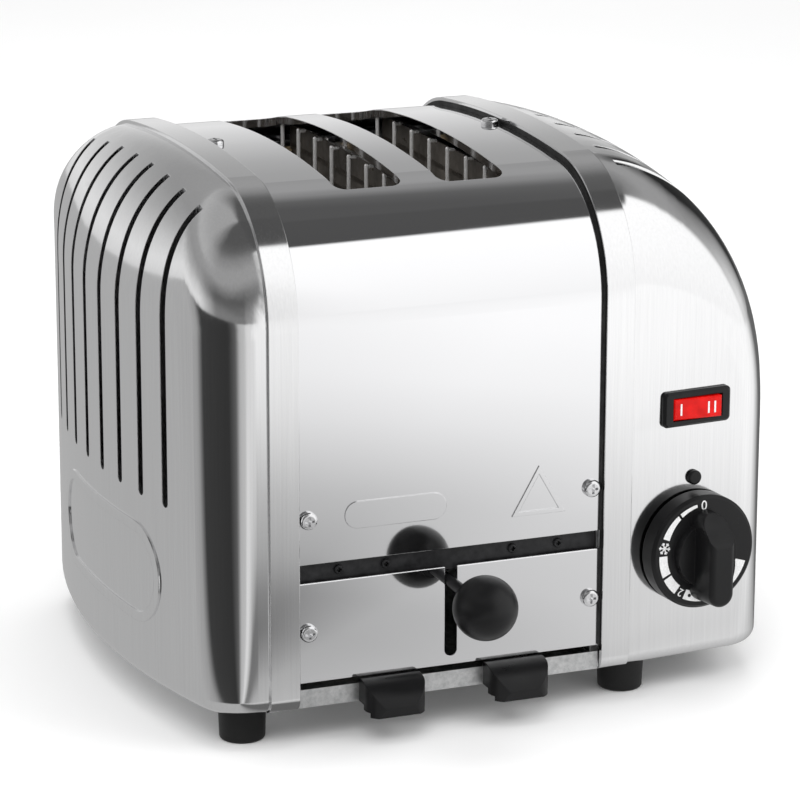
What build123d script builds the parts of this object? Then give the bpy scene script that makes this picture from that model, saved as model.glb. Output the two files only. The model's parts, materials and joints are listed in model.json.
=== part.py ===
from build123d import *
import os
from collections import namedtuple
from math import atan, cos, degrees, hypot, radians, sin

# A two-slot toaster. Millimetres, +X to the right along the front, +Y to the back, +Z up.
# The body is drawn about its own middle plane y = 0; write() moves every piece by CENTRE_Y,
# so that the row's origin is the middle of the whole object's footprint, on the table.

# ------------------------------------------------------------------ driving dimensions
JOINT_LEFT = -82.4  # where the left end casting meets the sheet-metal body
JOINT_RIGHT = 42.0  # where the right end casting meets the sheet-metal body
MIDDLE_X = (JOINT_LEFT + JOINT_RIGHT) / 2
BASE_Z = 13.5  # underside of the body, on top of the feet
TOP_Z = 214.3  # highest line of the casting rims
RIM_WIDTH = 11.6
RIM_HALF = 105.0  # half depth over the casting rims
BELL_STEP = 1.5  # the rims stand this far proud of the castings' bells
COVER_STEP = 3.0  # and this far proud of the cover
LOAF_RADIUS = 50.0  # shoulder radius of the loaf section at the rims
CROWN = 9.6  # drop of the crowned top from the middle to the sides
END_BOW = 16.6  # drop of the bowed end faces from the middle to the sides
WALL = 3.0  # casting wall
SHEET = 1.0  # cover and panel sheet
PLATE = 1.2  # structural plate
EDGE_ROUND = 6.0  # bottom edge of the castings
HUB = 1.0  # the fan sections start this far from the fan axis
ROOT = 2.0  # the fan axis lies this far inside the rim's outer face
FAN_STEP = 15  # degrees between fan sections

COVER_HALF = RIM_HALF - COVER_STEP
COVER_TOP = TOP_Z - COVER_STEP
COVER_BOTTOM = 70.7
LOWER_TOP = 63.5
LOWER_BOTTOM = 24.1
PANEL_FACE = -COVER_HALF  # y of the front panels' outer face

# An end casting: which way it points, its joint plane, its reach beyond the rim, the rise of its
# shoulder, its upright corner radius and how far its front face tapers back.
End = namedtuple("End", "side joint reach rise corner taper")
LEFT_END = End(-1, JOINT_LEFT, 36.0, 54.0, 20.0, 0.0)
RIGHT_END = End(1, JOINT_RIGHT, 76.4, 105.0, 17.0, 5.2)

VENT_WIDTH = 4.0
VENT_PITCH = 19.0
VENTS = 8
VENT_SHIFT = -2.0  # the row of vents sits this far towards the front
VENT_BOTTOM = 88.5
VENT_INNER_LEFT = -107.0  # the vents' ends near the rims
VENT_INNER_RIGHT = 61.0

SLOT_WIDTH = 27.4
SLOT_LENGTH = 142.0
SLOT_OFFSET = 20.9  # bread slot centre to the middle plane between the slots
SLOT_CORNER = 5.0
SLOT_LIP = 3.0

SCREW_X = (JOINT_LEFT + 4.3, JOINT_RIGHT - 4.3)
SCREW_Z = (43.9, 88.1)
SCREW_HEAD = 3.5
SCREW_RISE = 2.2

FOOT_X = (-99.2, 58.8)
FOOT_Y = 86.2
FOOT_TOP_R = 9.25
FOOT_TOE_R = 8.75

SHAFT_Y = -22.0  # lever shaft
SHAFT_Z = 40.0
SHAFT_R = 3.0
ROD_Z = 57.2
ROD_R = 2.2
KNOB_Y = -135.4
KNOB_R = 12.3
LEVER_REAR = 92.0  # shaft to lift roller
LEVER_DROOP = 5.5  # degrees below level at rest; the lever turns twice this
LEVER_TIP_R = 3.0
TIP_Y = SHAFT_Y + LEVER_REAR * cos(radians(LEVER_DROOP))
TIP_Z = SHAFT_Z - LEVER_REAR * sin(radians(LEVER_DROOP))
LIFT_GAP = 0.6  # free play between the lever tip and the yoke
RUNNING = 0.05  # radial clearance of a running fit

RACK_Z = 70.0  # top of the rack's web, under the bread plate
GUIDE_X = (MIDDLE_X - 32.0, MIDDLE_X + 32.0)
GUIDE_Y = 88.0
GUIDE_R = 2.5
INNER_Y = 76.0  # inner plates, front and rear
INNER_BOTTOM = 66.0
INNER_TOP = 192.0

MICA = 0.8
MICA_HALF = 73.0
MICA_BOTTOM = 76.0
MICA_TOP = 203.0
ELEMENT_OFFSET = 40.8  # outer elements from the middle plane
WIRE_R = 0.8
WIRE_OFFSET = 1.2  # guard wires outside the slot's edge
WIRE_PITCH = 19.0
WIRES = 8

TRAY_FLOOR = 14.8
TRAY_HALF_X = 59.6
TRAY_REAR = 94.0
TRAY_SHEET = 0.8
TRAY_WALL_TOP = 20.6

CONTROL_X = 81.7  # middle of the rocker and the dial along the front
SWITCH_Z = 116.0
STUD_Z = 87.5
DIAL_Z = 59.5
DIAL_R = 22.8
DIAL_THICK = 8.0  # flange of the timer dial
DIAL_GAP = 1.2
SHAFT_TIMER_R = 3.0
ROCKER_TILT = 5.0
ROCKER_DEPTH = 2.5  # rocker pivot behind the casting's face

GLAND_X = 92.0
GLAND_Z = 42.0
GLAND_REACH = 8.0

FRONT_REACH = -(KNOB_Y - KNOB_R)
REAR_REACH = RIM_HALF - BELL_STEP + GLAND_REACH
CENTRE_Y = (FRONT_REACH - REAR_REACH) / 2

os.makedirs("parts", exist_ok=True)


def write(piece, label):
    """Move a finished piece into the row's frame, label it and write its STEP file."""
    placed = piece.part.moved(Location((0, CENTRE_Y, 0)))
    placed.label = label
    export_step(placed, f"parts/{label}.step")


def loaf_section(x, half, top, bottom):
    """Bread-loaf outline on the plane at x: upright sides, round shoulders, crowned top."""
    radius = LOAF_RADIUS - (RIM_HALF - half)
    with BuildSketch(Plane.YZ.offset(x)) as section:
        with BuildLine():
            Polyline((-half, top - CROWN), (-half, bottom), (half, bottom), (half, top - CROWN))
            ThreePointArc((half, top - CROWN), (0, top), (-half, top - CROWN))
        make_face()
        fillet(section.vertices().sort_by(Axis.Y)[-2:], radius=radius)
    return section.sketch


def fan_section(end, angle, inset):
    """Outline of an end casting's bell, on a plane turned up about the fan axis inside the rim."""
    turn = radians(angle)
    half = RIM_HALF - BELL_STEP - inset
    reach = end.reach + ROOT - inset
    rise = end.rise - inset
    radius = reach * rise / hypot(rise * cos(turn), reach * sin(turn))
    drop = END_BOW * cos(turn) ** 2 + CROWN * sin(turn) ** 2
    upper_corner = LOAF_RADIUS - BELL_STEP
    corner = end.corner + (upper_corner - end.corner) * sin(turn) ** 3 - inset
    front = half - end.taper * cos(turn)
    outward = Vector(end.side * cos(turn), 0, sin(turn))
    origin = (end.joint + end.side * (RIM_WIDTH - ROOT), 0, TOP_Z - BELL_STEP - end.rise)
    plane = Plane(origin=origin, x_dir=(0, 1, 0), z_dir=Vector(0, 1, 0).cross(outward))
    with BuildSketch(plane) as section:
        with BuildLine():
            Polyline((-front, radius - drop), (-half, HUB), (half, HUB), (half, radius - drop))
            ThreePointArc((half, radius - drop), (0, radius), (-front, radius - drop))
        make_face()
        fillet(section.vertices().sort_by(Axis.Y)[-2:], radius=corner)
    return section.sketch


def bell(end, inset, bottom):
    """Solid inside an end casting's bell, inset from its outer face, standing on bottom.

    Upright up to the fan axis, where fanned sections carry it over the shoulder."""
    height = TOP_Z - BELL_STEP - end.rise - bottom
    with BuildPart() as solid:
        loft([fan_section(end, angle, inset) for angle in range(0, 91, FAN_STEP)])
        extrude(fan_section(end, 0, inset), amount=height, dir=(0, 0, -1))
    return solid.part


def rim_band(end, width, half, top, bottom, edge_round=0.0):
    """Loaf-shaped slab from an end casting's joint plane outwards."""
    start = min(end.joint, end.joint + end.side * width)
    with BuildPart() as band:
        extrude(loaf_section(start, half, top, bottom), amount=width)
        if edge_round:
            fillet(band.edges().filter_by_position(Axis.Z, bottom, bottom).filter_by(Axis.X), edge_round)
    return band.part


def vent_cutters(end, inner):
    """Upright vent slots, open through the end face and over the shoulder to x = inner."""
    reach = 2 * end.reach
    height = 2 * (TOP_Z - VENT_BOTTOM)
    first = VENT_SHIFT - VENT_PITCH * (VENTS - 1) / 2
    start = min(inner, inner + end.side * reach)
    with BuildPart() as cutters:
        with BuildSketch(Plane.YZ.offset(start)):
            with Locations(*[(first + i * VENT_PITCH, VENT_BOTTOM + height / 2) for i in range(VENTS)]):
                SlotOverall(height, VENT_WIDTH, rotation=90)
        extrude(amount=reach)
    return cutters.part


# Casting screw bosses: depth and height of each, at the cheeks' inner faces.
BOSS_PLACES = [(y, z) for y in (-95.0, 95.0) for z in (52.0, 135.0)]
BOSS_R = 6.0
BOSS_LENGTH = 16.0
PILOT_R = 1.7

# The control face tapers back a little; dial, bezel and stud are drawn on planes that lie on it.
TAPER_RUN = RIGHT_END.reach + ROOT - END_BOW
TAPER_ANGLE = atan(RIGHT_END.taper / TAPER_RUN)
CONTROL_Y = -(RIM_HALF - BELL_STEP) + (CONTROL_X - JOINT_RIGHT - RIM_WIDTH + ROOT) * sin(TAPER_ANGLE)
CONTROL_RIGHT = Vector(cos(TAPER_ANGLE), sin(TAPER_ANGLE), 0)
CONTROL_NORMAL = Vector(sin(TAPER_ANGLE), -cos(TAPER_ANGLE), 0)


def control_plane(z, out=0.0):
    """Plane on the control face at height z, moved out of the face by out; local y points up."""
    origin = Vector(CONTROL_X, CONTROL_Y, z) + CONTROL_NORMAL * out
    return Plane(origin=origin, x_dir=CONTROL_RIGHT, z_dir=CONTROL_NORMAL)


def rod_along_y(x, y_low, y_high, z, radius):
    """Round bar along Y."""
    with BuildPart() as rod:
        with BuildSketch(Plane(origin=(x, y_low, z), x_dir=(1, 0, 0), z_dir=(0, 1, 0))):
            Circle(radius)
        extrude(amount=y_high - y_low)
    return rod.part


def rod_along_x(x_low, x_high, y, z, radius):
    """Round bar along X."""
    with BuildPart() as rod:
        with BuildSketch(Plane(origin=(x_low, y, z), x_dir=(0, 1, 0), z_dir=(1, 0, 0))):
            Circle(radius)
        extrude(amount=x_high - x_low)
    return rod.part


def block(x_span, y_span, z_span):
    """Plain box between pairs of coordinates."""
    centre = [(low + high) / 2 for low, high in (x_span, y_span, z_span)]
    size = [high - low for low, high in (x_span, y_span, z_span)]
    with BuildPart() as box:
        with Locations(Location(centre)):
            Box(*size)
    return box.part


def pan_screw(plane, head_r=SCREW_HEAD, rise=SCREW_RISE, shank_r=1.6, length=6.0):
    """Pan-head screw with a cross recess; the head stands on the plane, the shank goes behind."""
    with BuildPart() as screw:
        with BuildSketch(plane):
            Circle(head_r)
        extrude(amount=rise)
        fillet(screw.edges().sort_by(Axis(plane.origin, plane.z_dir))[-1:], rise * 0.6)
        with BuildSketch(plane):
            Circle(shank_r)
        extrude(amount=-length)
        with BuildSketch(plane.offset(rise - 1.2)):
            Rectangle(head_r * 1.1, 0.9)
            Rectangle(0.9, head_r * 1.1)
        extrude(amount=1.2, mode=Mode.SUBTRACT)
    return screw.part


# ------------------------------------------------------------------ end castings
def end_casting(end, inner):
    """Hollow end casting: bell, rim band, vents, floor lip and screw bosses."""
    inner_half = RIM_HALF - BELL_STEP - WALL
    inner_top = TOP_Z - BELL_STEP - WALL
    floor = BASE_Z + WALL
    with BuildPart() as casting:
        add(bell(end, 0, BASE_Z))
        toes = casting.edges().filter_by_position(Axis.Z, BASE_Z, BASE_Z)
        fillet(toes.filter_by(lambda edge: abs(edge.center().X - end.joint) > RIM_WIDTH), EDGE_ROUND)
        add(rim_band(end, RIM_WIDTH, RIM_HALF, TOP_Z, BASE_Z, EDGE_ROUND))
        add(bell(end, WALL, floor), mode=Mode.SUBTRACT)
        add(rim_band(end, RIM_WIDTH, inner_half - 0.5, inner_top - 0.5, floor), mode=Mode.SUBTRACT)
        sill = sorted((end.joint, end.joint + end.side * (RIM_WIDTH + end.reach - 28)))
        add(block(sill, (-91, 91), (0, floor + 1)), mode=Mode.SUBTRACT)
        add(vent_cutters(end, inner), mode=Mode.SUBTRACT)
        span = sorted((end.joint, end.joint + end.side * BOSS_LENGTH))
        for y, z in BOSS_PLACES:
            add(rod_along_x(*span, y, z, BOSS_R))
        for y, z in BOSS_PLACES:
            add(rod_along_x(*span, y, z, PILOT_R), mode=Mode.SUBTRACT)
    return casting.part


BADGE_RISE = 0.6

with BuildPart() as left_badge:
    add(bell(LEFT_END, -BADGE_RISE, BASE_Z))
    with BuildSketch(Plane.YZ.offset(-140)):
        with Locations((-8, 57)):
            SlotOverall(112, 40)
        with Locations((-8, 57)):
            SlotOverall(104, 32, mode=Mode.SUBTRACT)
    extrude(amount=25, mode=Mode.INTERSECT)

with BuildPart() as left_end_casting:
    add(end_casting(LEFT_END, VENT_INNER_LEFT))
    add(left_badge.part)
write(left_end_casting, "left_end_casting")

GLAND_THREAD_R = 6.0
SWITCH_WINDOW = (23.6, 10.6)

with BuildPart() as right_end_casting:
    add(end_casting(RIGHT_END, VENT_INNER_RIGHT))
    with BuildSketch(control_plane(SWITCH_Z, 5)):
        Rectangle(*SWITCH_WINDOW)
    extrude(amount=-15, mode=Mode.SUBTRACT)
    with BuildSketch(control_plane(DIAL_Z, 5)):
        Circle(SHAFT_TIMER_R + 1)
    extrude(amount=-15, mode=Mode.SUBTRACT)
    with BuildSketch(control_plane(STUD_Z, 5)):
        Circle(1.5)
    extrude(amount=-15, mode=Mode.SUBTRACT)
    add(rod_along_y(GLAND_X, 90, 110, GLAND_Z, GLAND_THREAD_R), mode=Mode.SUBTRACT)
write(right_end_casting, "right_end_casting")

# ------------------------------------------------------------------ sheet-metal body
BODY_LENGTH = JOINT_RIGHT - JOINT_LEFT
SLOT_CENTRES = (MIDDLE_X - SLOT_OFFSET, MIDDLE_X + SLOT_OFFSET)
INSIDE_HALF = COVER_HALF - SHEET
INSIDE_TOP = COVER_TOP - SHEET


def bread_slots(grow, depth):
    """Prisms through the top in the bread slots' outline, grown by grow."""
    with BuildPart() as prisms:
        with BuildSketch(Plane.XY.offset(TOP_Z + 5)):
            with Locations(*[(x, 0) for x in SLOT_CENTRES]):
                RectangleRounded(SLOT_WIDTH + 2 * grow, SLOT_LENGTH + 2 * grow, SLOT_CORNER + grow)
        extrude(amount=-depth)
    return prisms.part


with BuildPart() as slot_lips:
    extrude(loaf_section(JOINT_LEFT, COVER_HALF, COVER_TOP, BASE_Z), amount=BODY_LENGTH)
    lip_half = COVER_HALF - SLOT_LIP
    extrude(loaf_section(JOINT_LEFT, lip_half, COVER_TOP - SLOT_LIP, 0), amount=BODY_LENGTH,
            mode=Mode.SUBTRACT)
    add(bread_slots(SHEET, 60), mode=Mode.INTERSECT)

SCREW_SPOTS = [(x, z) for x in SCREW_X for z in SCREW_Z]
EMBLEM_X = -42.9
EMBLEM_Z = 88.2
TRIANGLE_X = 15.7
TRIANGLE_Z = 86.6

with BuildPart() as body_cover:
    extrude(loaf_section(JOINT_LEFT, COVER_HALF, COVER_TOP, LOWER_BOTTOM), amount=BODY_LENGTH)
    extrude(loaf_section(JOINT_LEFT, INSIDE_HALF, INSIDE_TOP, 0), amount=BODY_LENGTH, mode=Mode.SUBTRACT)
    add(slot_lips.part)
    add(bread_slots(0, 60), mode=Mode.SUBTRACT)
    add(block((JOINT_LEFT, JOINT_RIGHT), (PANEL_FACE - 1, 0), (0, COVER_BOTTOM)), mode=Mode.SUBTRACT)
    for side_y in (-1, 1):
        with BuildSketch(Plane.XZ.offset(-side_y * (INSIDE_HALF - 1))):
            with Locations(*[(x, SCREW_Z[1]) for x in SCREW_X]):
                Circle(1.7)
        extrude(amount=-side_y * 5, mode=Mode.SUBTRACT)
    with BuildSketch(Plane.XY.offset(TOP_Z)):
        with Locations(*[(x, 0) for x in SCREW_X]):
            Circle(1.7)
    extrude(amount=-12, mode=Mode.SUBTRACT)
    with BuildSketch(Plane.XZ.offset(COVER_HALF - SHEET / 2)):
        with Locations((EMBLEM_X, EMBLEM_Z)):
            SlotOverall(41, 10.5)
    extrude(amount=SHEET / 2 + 0.5)
    with BuildSketch(Plane.XZ.offset(COVER_HALF - SHEET / 2)):
        with Locations((TRIANGLE_X, TRIANGLE_Z)):
            RegularPolygon(12.8, 3, rotation=90)
            RegularPolygon(9.6, 3, rotation=90, mode=Mode.SUBTRACT)
    extrude(amount=SHEET / 2 + 0.5)
write(body_cover, "body_cover")

# ------------------------------------------------------------------ joint seals
SEAL_THICK = 0.4
SEAL_GAP = 0.02
SEAL_BOTTOM = LOWER_BOTTOM
SEAL_OUTER = COVER_HALF + 1.7


def joint_seal(x):
    """Black strip that follows the step from the cover up to a rim, starting at x."""
    rise = SEAL_OUTER - COVER_HALF
    with BuildPart() as strip:
        extrude(loaf_section(x, SEAL_OUTER, COVER_TOP + rise, SEAL_BOTTOM), amount=SEAL_THICK)
        inner = loaf_section(x, COVER_HALF + SEAL_GAP, COVER_TOP + SEAL_GAP, SEAL_BOTTOM - 1)
        extrude(inner, amount=SEAL_THICK, mode=Mode.SUBTRACT)
    return strip.part


with BuildPart() as joint_seals:
    add(joint_seal(JOINT_RIGHT - SEAL_THICK))
    add(joint_seal(JOINT_LEFT))
write(joint_seals, "joint_seals")

LEVER_SLOT = 5.1
LEVER_SLOT_BOTTOM = 27.5

with BuildPart() as front_lower_panel:
    bead_z = LOWER_TOP - SHEET / 2
    add(block((JOINT_LEFT, JOINT_RIGHT), (PANEL_FACE, PANEL_FACE + SHEET), (LOWER_BOTTOM, bead_z)))
    add(rod_along_x(JOINT_LEFT, JOINT_RIGHT, PANEL_FACE + SHEET / 2, bead_z, SHEET / 2))
    with BuildSketch(Plane.XZ.offset(COVER_HALF - 8)):
        with Locations((MIDDLE_X, LEVER_SLOT_BOTTOM + 25)):
            SlotOverall(50, LEVER_SLOT, rotation=90)
        with Locations(*[(x, SCREW_Z[0]) for x in SCREW_X]):
            Circle(1.7)
    extrude(amount=10, mode=Mode.SUBTRACT)
write(front_lower_panel, "front_lower_panel")

GAP_BOTTOM = 61.0
GAP_TOP = 74.0


def side_plate(joint, inward):
    """Side plate with front, rear and top flanges; inward is +1 or -1 towards the middle."""
    plate = sorted((joint, joint + inward * PLATE))
    flange = sorted((joint, joint + inward * 12))
    edge = INSIDE_HALF - 0.1
    with BuildPart() as side:
        extrude(loaf_section(plate[0], edge, INSIDE_TOP - 0.1, 24.5), amount=PLATE)
        for y_span in ((-edge, -edge + PLATE), (edge - PLATE, edge)):
            add(block(flange, y_span, (26, 150)))
        add(block(flange, (-16, 16), (INSIDE_TOP - 1.7, INSIDE_TOP - 0.5)))
        gap = sorted((joint + inward * PLATE, joint + inward * 13))
        add(block(gap, (-edge - 1, -edge + PLATE), (GAP_BOTTOM, GAP_TOP)), mode=Mode.SUBTRACT)
        for y, z in BOSS_PLACES:
            add(rod_along_x(plate[0], plate[1], y, z, 1.7), mode=Mode.SUBTRACT)
        add(rod_along_x(plate[0], plate[1], SHAFT_Y, SHAFT_Z, SHAFT_R), mode=Mode.SUBTRACT)
        with BuildSketch(Plane.YZ.offset(plate[0])):
            with Locations((0, 120)):
                with GridLocations(22, 30, 6, 3):
                    SlotOverall(18, 6, rotation=90)
        extrude(amount=PLATE, mode=Mode.SUBTRACT)
        with BuildSketch(Plane.XZ.offset(-edge)):
            with Locations(*[(joint + inward * 4.3, z) for z in SCREW_Z]):
                Circle(1.7)
        extrude(amount=2 * edge, mode=Mode.SUBTRACT)
        with BuildSketch(Plane.XY.offset(INSIDE_TOP)):
            with Locations((joint + inward * 4.3, 0)):
                Circle(1.7)
        extrude(amount=-5, mode=Mode.SUBTRACT)
    return side.part


with BuildPart() as left_side_plate:
    add(side_plate(JOINT_LEFT, 1))
write(left_side_plate, "left_side_plate")
with BuildPart() as right_side_plate:
    add(side_plate(JOINT_RIGHT, -1))
write(right_side_plate, "right_side_plate")

INNER_LEFT = JOINT_LEFT + PLATE
INNER_RIGHT = JOINT_RIGHT - PLATE
RAIL_FRONT = INSIDE_HALF - 0.1 - PLATE

RAIL_SCREW_X = (INNER_LEFT + 16, MIDDLE_X - 26, MIDDLE_X + 26, INNER_RIGHT - 16)
RAIL_SCREW_Z = 67.0

with BuildPart() as front_rail:
    add(block((INNER_LEFT, INNER_RIGHT), (-RAIL_FRONT, -RAIL_FRONT + PLATE), (61.5, 80)))
    add(block((INNER_LEFT, INNER_RIGHT), (-RAIL_FRONT, -RAIL_FRONT + 9), (80, 80 + PLATE)))
    with BuildSketch(Plane.XZ.offset(RAIL_FRONT)):
        with Locations(*[(x, RAIL_SCREW_Z) for x in RAIL_SCREW_X]):
            Circle(1.0)
    extrude(amount=-PLATE, mode=Mode.SUBTRACT)
write(front_rail, "front_rail")

with BuildPart() as front_rail_screws:
    for x in RAIL_SCREW_X:
        head = Plane(origin=(x, -RAIL_FRONT, RAIL_SCREW_Z), x_dir=(1, 0, 0), z_dir=(0, -1, 0))
        add(pan_screw(head, 1.8, 1.2, 1.0, 4))
write(front_rail_screws, "front_rail_screws")

with BuildPart() as rear_rail:
    add(block((INNER_LEFT, INNER_RIGHT), (RAIL_FRONT - PLATE, RAIL_FRONT), (22.6, 40)))
    add(block((INNER_LEFT, INNER_RIGHT), (82, RAIL_FRONT), (22.6, 22.6 + PLATE)))
write(rear_rail, "rear_rail")


def inner_plate(y_span):
    """Upright cross plate that holds the elements' ends."""
    with BuildPart() as plate:
        add(block((INNER_LEFT, INNER_RIGHT), y_span, (INNER_BOTTOM, INNER_TOP)))
    return plate.part


RACK_WEB = 1.6
LIFT = LEVER_REAR * 2 * sin(radians(LEVER_DROOP))

with BuildPart() as front_inner_plate:
    add(inner_plate((-INNER_Y - SHEET, -INNER_Y)))
write(front_inner_plate, "front_inner_plate")
with BuildPart() as rear_inner_plate:
    add(inner_plate((INNER_Y, INNER_Y + SHEET)))
    for x in SLOT_CENTRES:
        add(block((x - 2, x + 2), (INNER_Y - 1, INNER_Y + 2), (0, RACK_Z + LIFT + 3)), mode=Mode.SUBTRACT)
write(rear_inner_plate, "rear_inner_plate")


def base_plate(end):
    """Floor of an end casting, lying on its lip."""
    with BuildPart() as floor:
        with BuildSketch(Plane.XY.offset(BASE_Z + WALL)):
            reach = RIM_WIDTH + end.reach - 24
            outline = sorted((end.joint + end.side * 1.5, end.joint + end.side * reach))
            with Locations((sum(outline) / 2, 0)):
                Rectangle(outline[1] - outline[0], 188)
        extrude(amount=1.5)
        foot_x = FOOT_X[0] if end.side < 0 else FOOT_X[1]
        with BuildSketch(Plane.XY.offset(BASE_Z + WALL)):
            with Locations((foot_x, -FOOT_Y), (foot_x, FOOT_Y)):
                Circle(2.0)
        extrude(amount=1.5, mode=Mode.SUBTRACT)
    return floor.part


with BuildPart() as left_base_plate:
    add(base_plate(LEFT_END))
write(left_base_plate, "left_base_plate")
with BuildPart() as right_base_plate:
    add(base_plate(RIGHT_END))
write(right_base_plate, "right_base_plate")

# ------------------------------------------------------------------ feet and fasteners
FOOT_NAMES = ("foot_front_left", "foot_rear_left", "foot_front_right", "foot_rear_right")
FOOT_SPOTS = [(x, y) for x in FOOT_X for y in (-FOOT_Y, FOOT_Y)]

for foot_name, (foot_x, foot_y) in zip(FOOT_NAMES, FOOT_SPOTS):
    with BuildPart() as foot:
        with BuildSketch(Plane.XY.offset(BASE_Z)):
            with Locations((foot_x, foot_y)):
                Circle(FOOT_TOP_R)
        extrude(amount=-BASE_Z, taper=degrees(atan((FOOT_TOP_R - FOOT_TOE_R) / BASE_Z)))
        fillet(foot.edges().group_by(Axis.Z)[0], 1.2)
        with Locations((foot_x, foot_y, 0)):
            Cylinder(4.5, 12, mode=Mode.SUBTRACT)
            Cylinder(2.0, 40, mode=Mode.SUBTRACT)
    write(foot, foot_name)

with BuildPart() as foot_screws:
    for foot_x, foot_y in FOOT_SPOTS:
        seat = Plane(origin=(foot_x, foot_y, 6), x_dir=(1, 0, 0), z_dir=(0, 0, -1))
        add(pan_screw(seat, 4.0, 2.4, 2.0, 13.5))
write(foot_screws, "foot_screws")


with BuildPart() as panel_screws:
    for x, z in SCREW_SPOTS:
        add(pan_screw(Plane(origin=(x, PANEL_FACE, z), x_dir=(1, 0, 0), z_dir=(0, -1, 0))))
    for x in SCREW_X:
        add(pan_screw(Plane(origin=(x, COVER_HALF, SCREW_Z[1]), x_dir=(1, 0, 0), z_dir=(0, 1, 0))))
write(panel_screws, "panel_screws")

with BuildPart() as top_screws:
    for x in SCREW_X:
        add(pan_screw(Plane(origin=(x, 0, COVER_TOP), x_dir=(1, 0, 0), z_dir=(0, 0, 1))))
write(top_screws, "top_screws")

with BuildPart() as casting_screws:
    for joint, inward in ((JOINT_LEFT, 1), (JOINT_RIGHT, -1)):
        for y, z in BOSS_PLACES:
            face = Plane(origin=(joint + inward * PLATE, y, z), x_dir=(0, 1, 0), z_dir=(inward, 0, 0))
            add(pan_screw(face, 3.2, 2.0, 1.65, 12))
write(casting_screws, "casting_screws")

# ------------------------------------------------------------------ heating elements
ELEMENT_X = {"left": MIDDLE_X - ELEMENT_OFFSET, "centre": MIDDLE_X, "right": MIDDLE_X + ELEMENT_OFFSET}
WINDING_SIDES = {"left": (1,), "centre": (-1, 1), "right": (-1,)}
TURNS = 17
TURN_PITCH = 7.0
RIBBON = 0.3
RIBBON_WIDTH = 1.6

for element, element_x in ELEMENT_X.items():
    with BuildPart() as mica_card:
        card = (element_x - MICA / 2, element_x + MICA / 2)
        add(block(card, (-MICA_HALF, MICA_HALF), (MICA_BOTTOM, MICA_TOP)))
    write(mica_card, f"element_{element}")
    with BuildPart() as winding:
        for side in WINDING_SIDES[element]:
            ribbon = sorted((element_x + side * MICA / 2, element_x + side * (MICA / 2 + RIBBON)))
            for turn in range(TURNS):
                low = MICA_BOTTOM + 5 + turn * TURN_PITCH
                add(block(ribbon, (-MICA_HALF + 4, MICA_HALF - 4), (low, low + RIBBON_WIDTH)))
            for end_y in (-1, 1):
                bar = sorted((end_y * (MICA_HALF - 5), end_y * (MICA_HALF - 3)))
                add(block(ribbon, bar, (MICA_BOTTOM + 5, MICA_BOTTOM + 5 + (TURNS - 1) * TURN_PITCH + 1.6)))
    write(winding, f"winding_{element}")

for holder_side, direction in (("front", -1), ("rear", 1)):
    with BuildPart() as element_holders:
        for element_x in ELEMENT_X.values():
            rail = sorted((direction * (MICA_HALF - 2.5), direction * INNER_Y))
            add(block((element_x - 2.5, element_x + 2.5), rail, (MICA_BOTTOM - 2, INNER_TOP)))
            groove = sorted((direction * (MICA_HALF - 2.5), direction * MICA_HALF))
            reach = MICA / 2 + RIBBON
            add(block((element_x - reach, element_x + reach), groove, (MICA_BOTTOM, INNER_TOP)),
                mode=Mode.SUBTRACT)
    write(element_holders, f"element_holders_{holder_side}")

with BuildPart() as element_insulators:
    for x in (INNER_LEFT + 5, INNER_RIGHT - 5, MIDDLE_X + 7.5):
        add(block((x - 4, x + 4), (-RAIL_FRONT + PLATE + 0.2, -INNER_Y - SHEET), (68, 76)))
write(element_insulators, "element_insulators")

EDGES = [(SLOT_CENTRES[0] - SLOT_WIDTH / 2, -1), (SLOT_CENTRES[0] + SLOT_WIDTH / 2, 1),
         (SLOT_CENTRES[1] - SLOT_WIDTH / 2, -1), (SLOT_CENTRES[1] + SLOT_WIDTH / 2, 1)]
WIRE_BOTTOM = 67.0
WIRE_TOP = 204.5

for wire_number, (edge_x, away) in enumerate(EDGES, start=1):
    wire_x = edge_x + away * WIRE_OFFSET
    back_x = wire_x + away * 1.5 * WIRE_R
    with BuildPart() as guard_wires:
        for i in range(WIRES):
            wire_y = (i - (WIRES - 1) / 2) * WIRE_PITCH
            with Locations((wire_x, wire_y, (WIRE_BOTTOM + WIRE_TOP) / 2)):
                Cylinder(WIRE_R, WIRE_TOP - WIRE_BOTTOM)
            with Locations((wire_x, wire_y, WIRE_TOP)):
                Sphere(WIRE_R)
            hook = sorted((wire_x, wire_x + away * 3))
            add(rod_along_x(*hook, wire_y, WIRE_TOP - WIRE_R / 2, WIRE_R * 0.9))
        add(rod_along_y(back_x, -MICA_HALF, MICA_HALF, WIRE_BOTTOM + 3, WIRE_R))
        add(rod_along_y(back_x, -MICA_HALF, MICA_HALF, (WIRE_BOTTOM + WIRE_TOP) / 2, WIRE_R))
    write(guard_wires, f"guard_wires_{wire_number}")

# ------------------------------------------------------------------ lift
with BuildPart() as lever_shaft:
    add(rod_along_x(JOINT_LEFT + 0.2, JOINT_RIGHT - 0.2, SHAFT_Y, SHAFT_Z, SHAFT_R))
write(lever_shaft, "lever_shaft")

KNEE_Y = -66.0
LEVER_THICK = 4.0


def limb(start, end, height, x, thickness):
    """Flat bar with round ends between two points of the plane at x."""
    middle = ((start[0] + end[0]) / 2, (start[1] + end[1]) / 2)
    with BuildPart() as bar:
        with BuildSketch(Plane.YZ.offset(x - thickness / 2)):
            SlotCenterPoint(middle, end, height)
        extrude(amount=thickness)
    return bar.part


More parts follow.
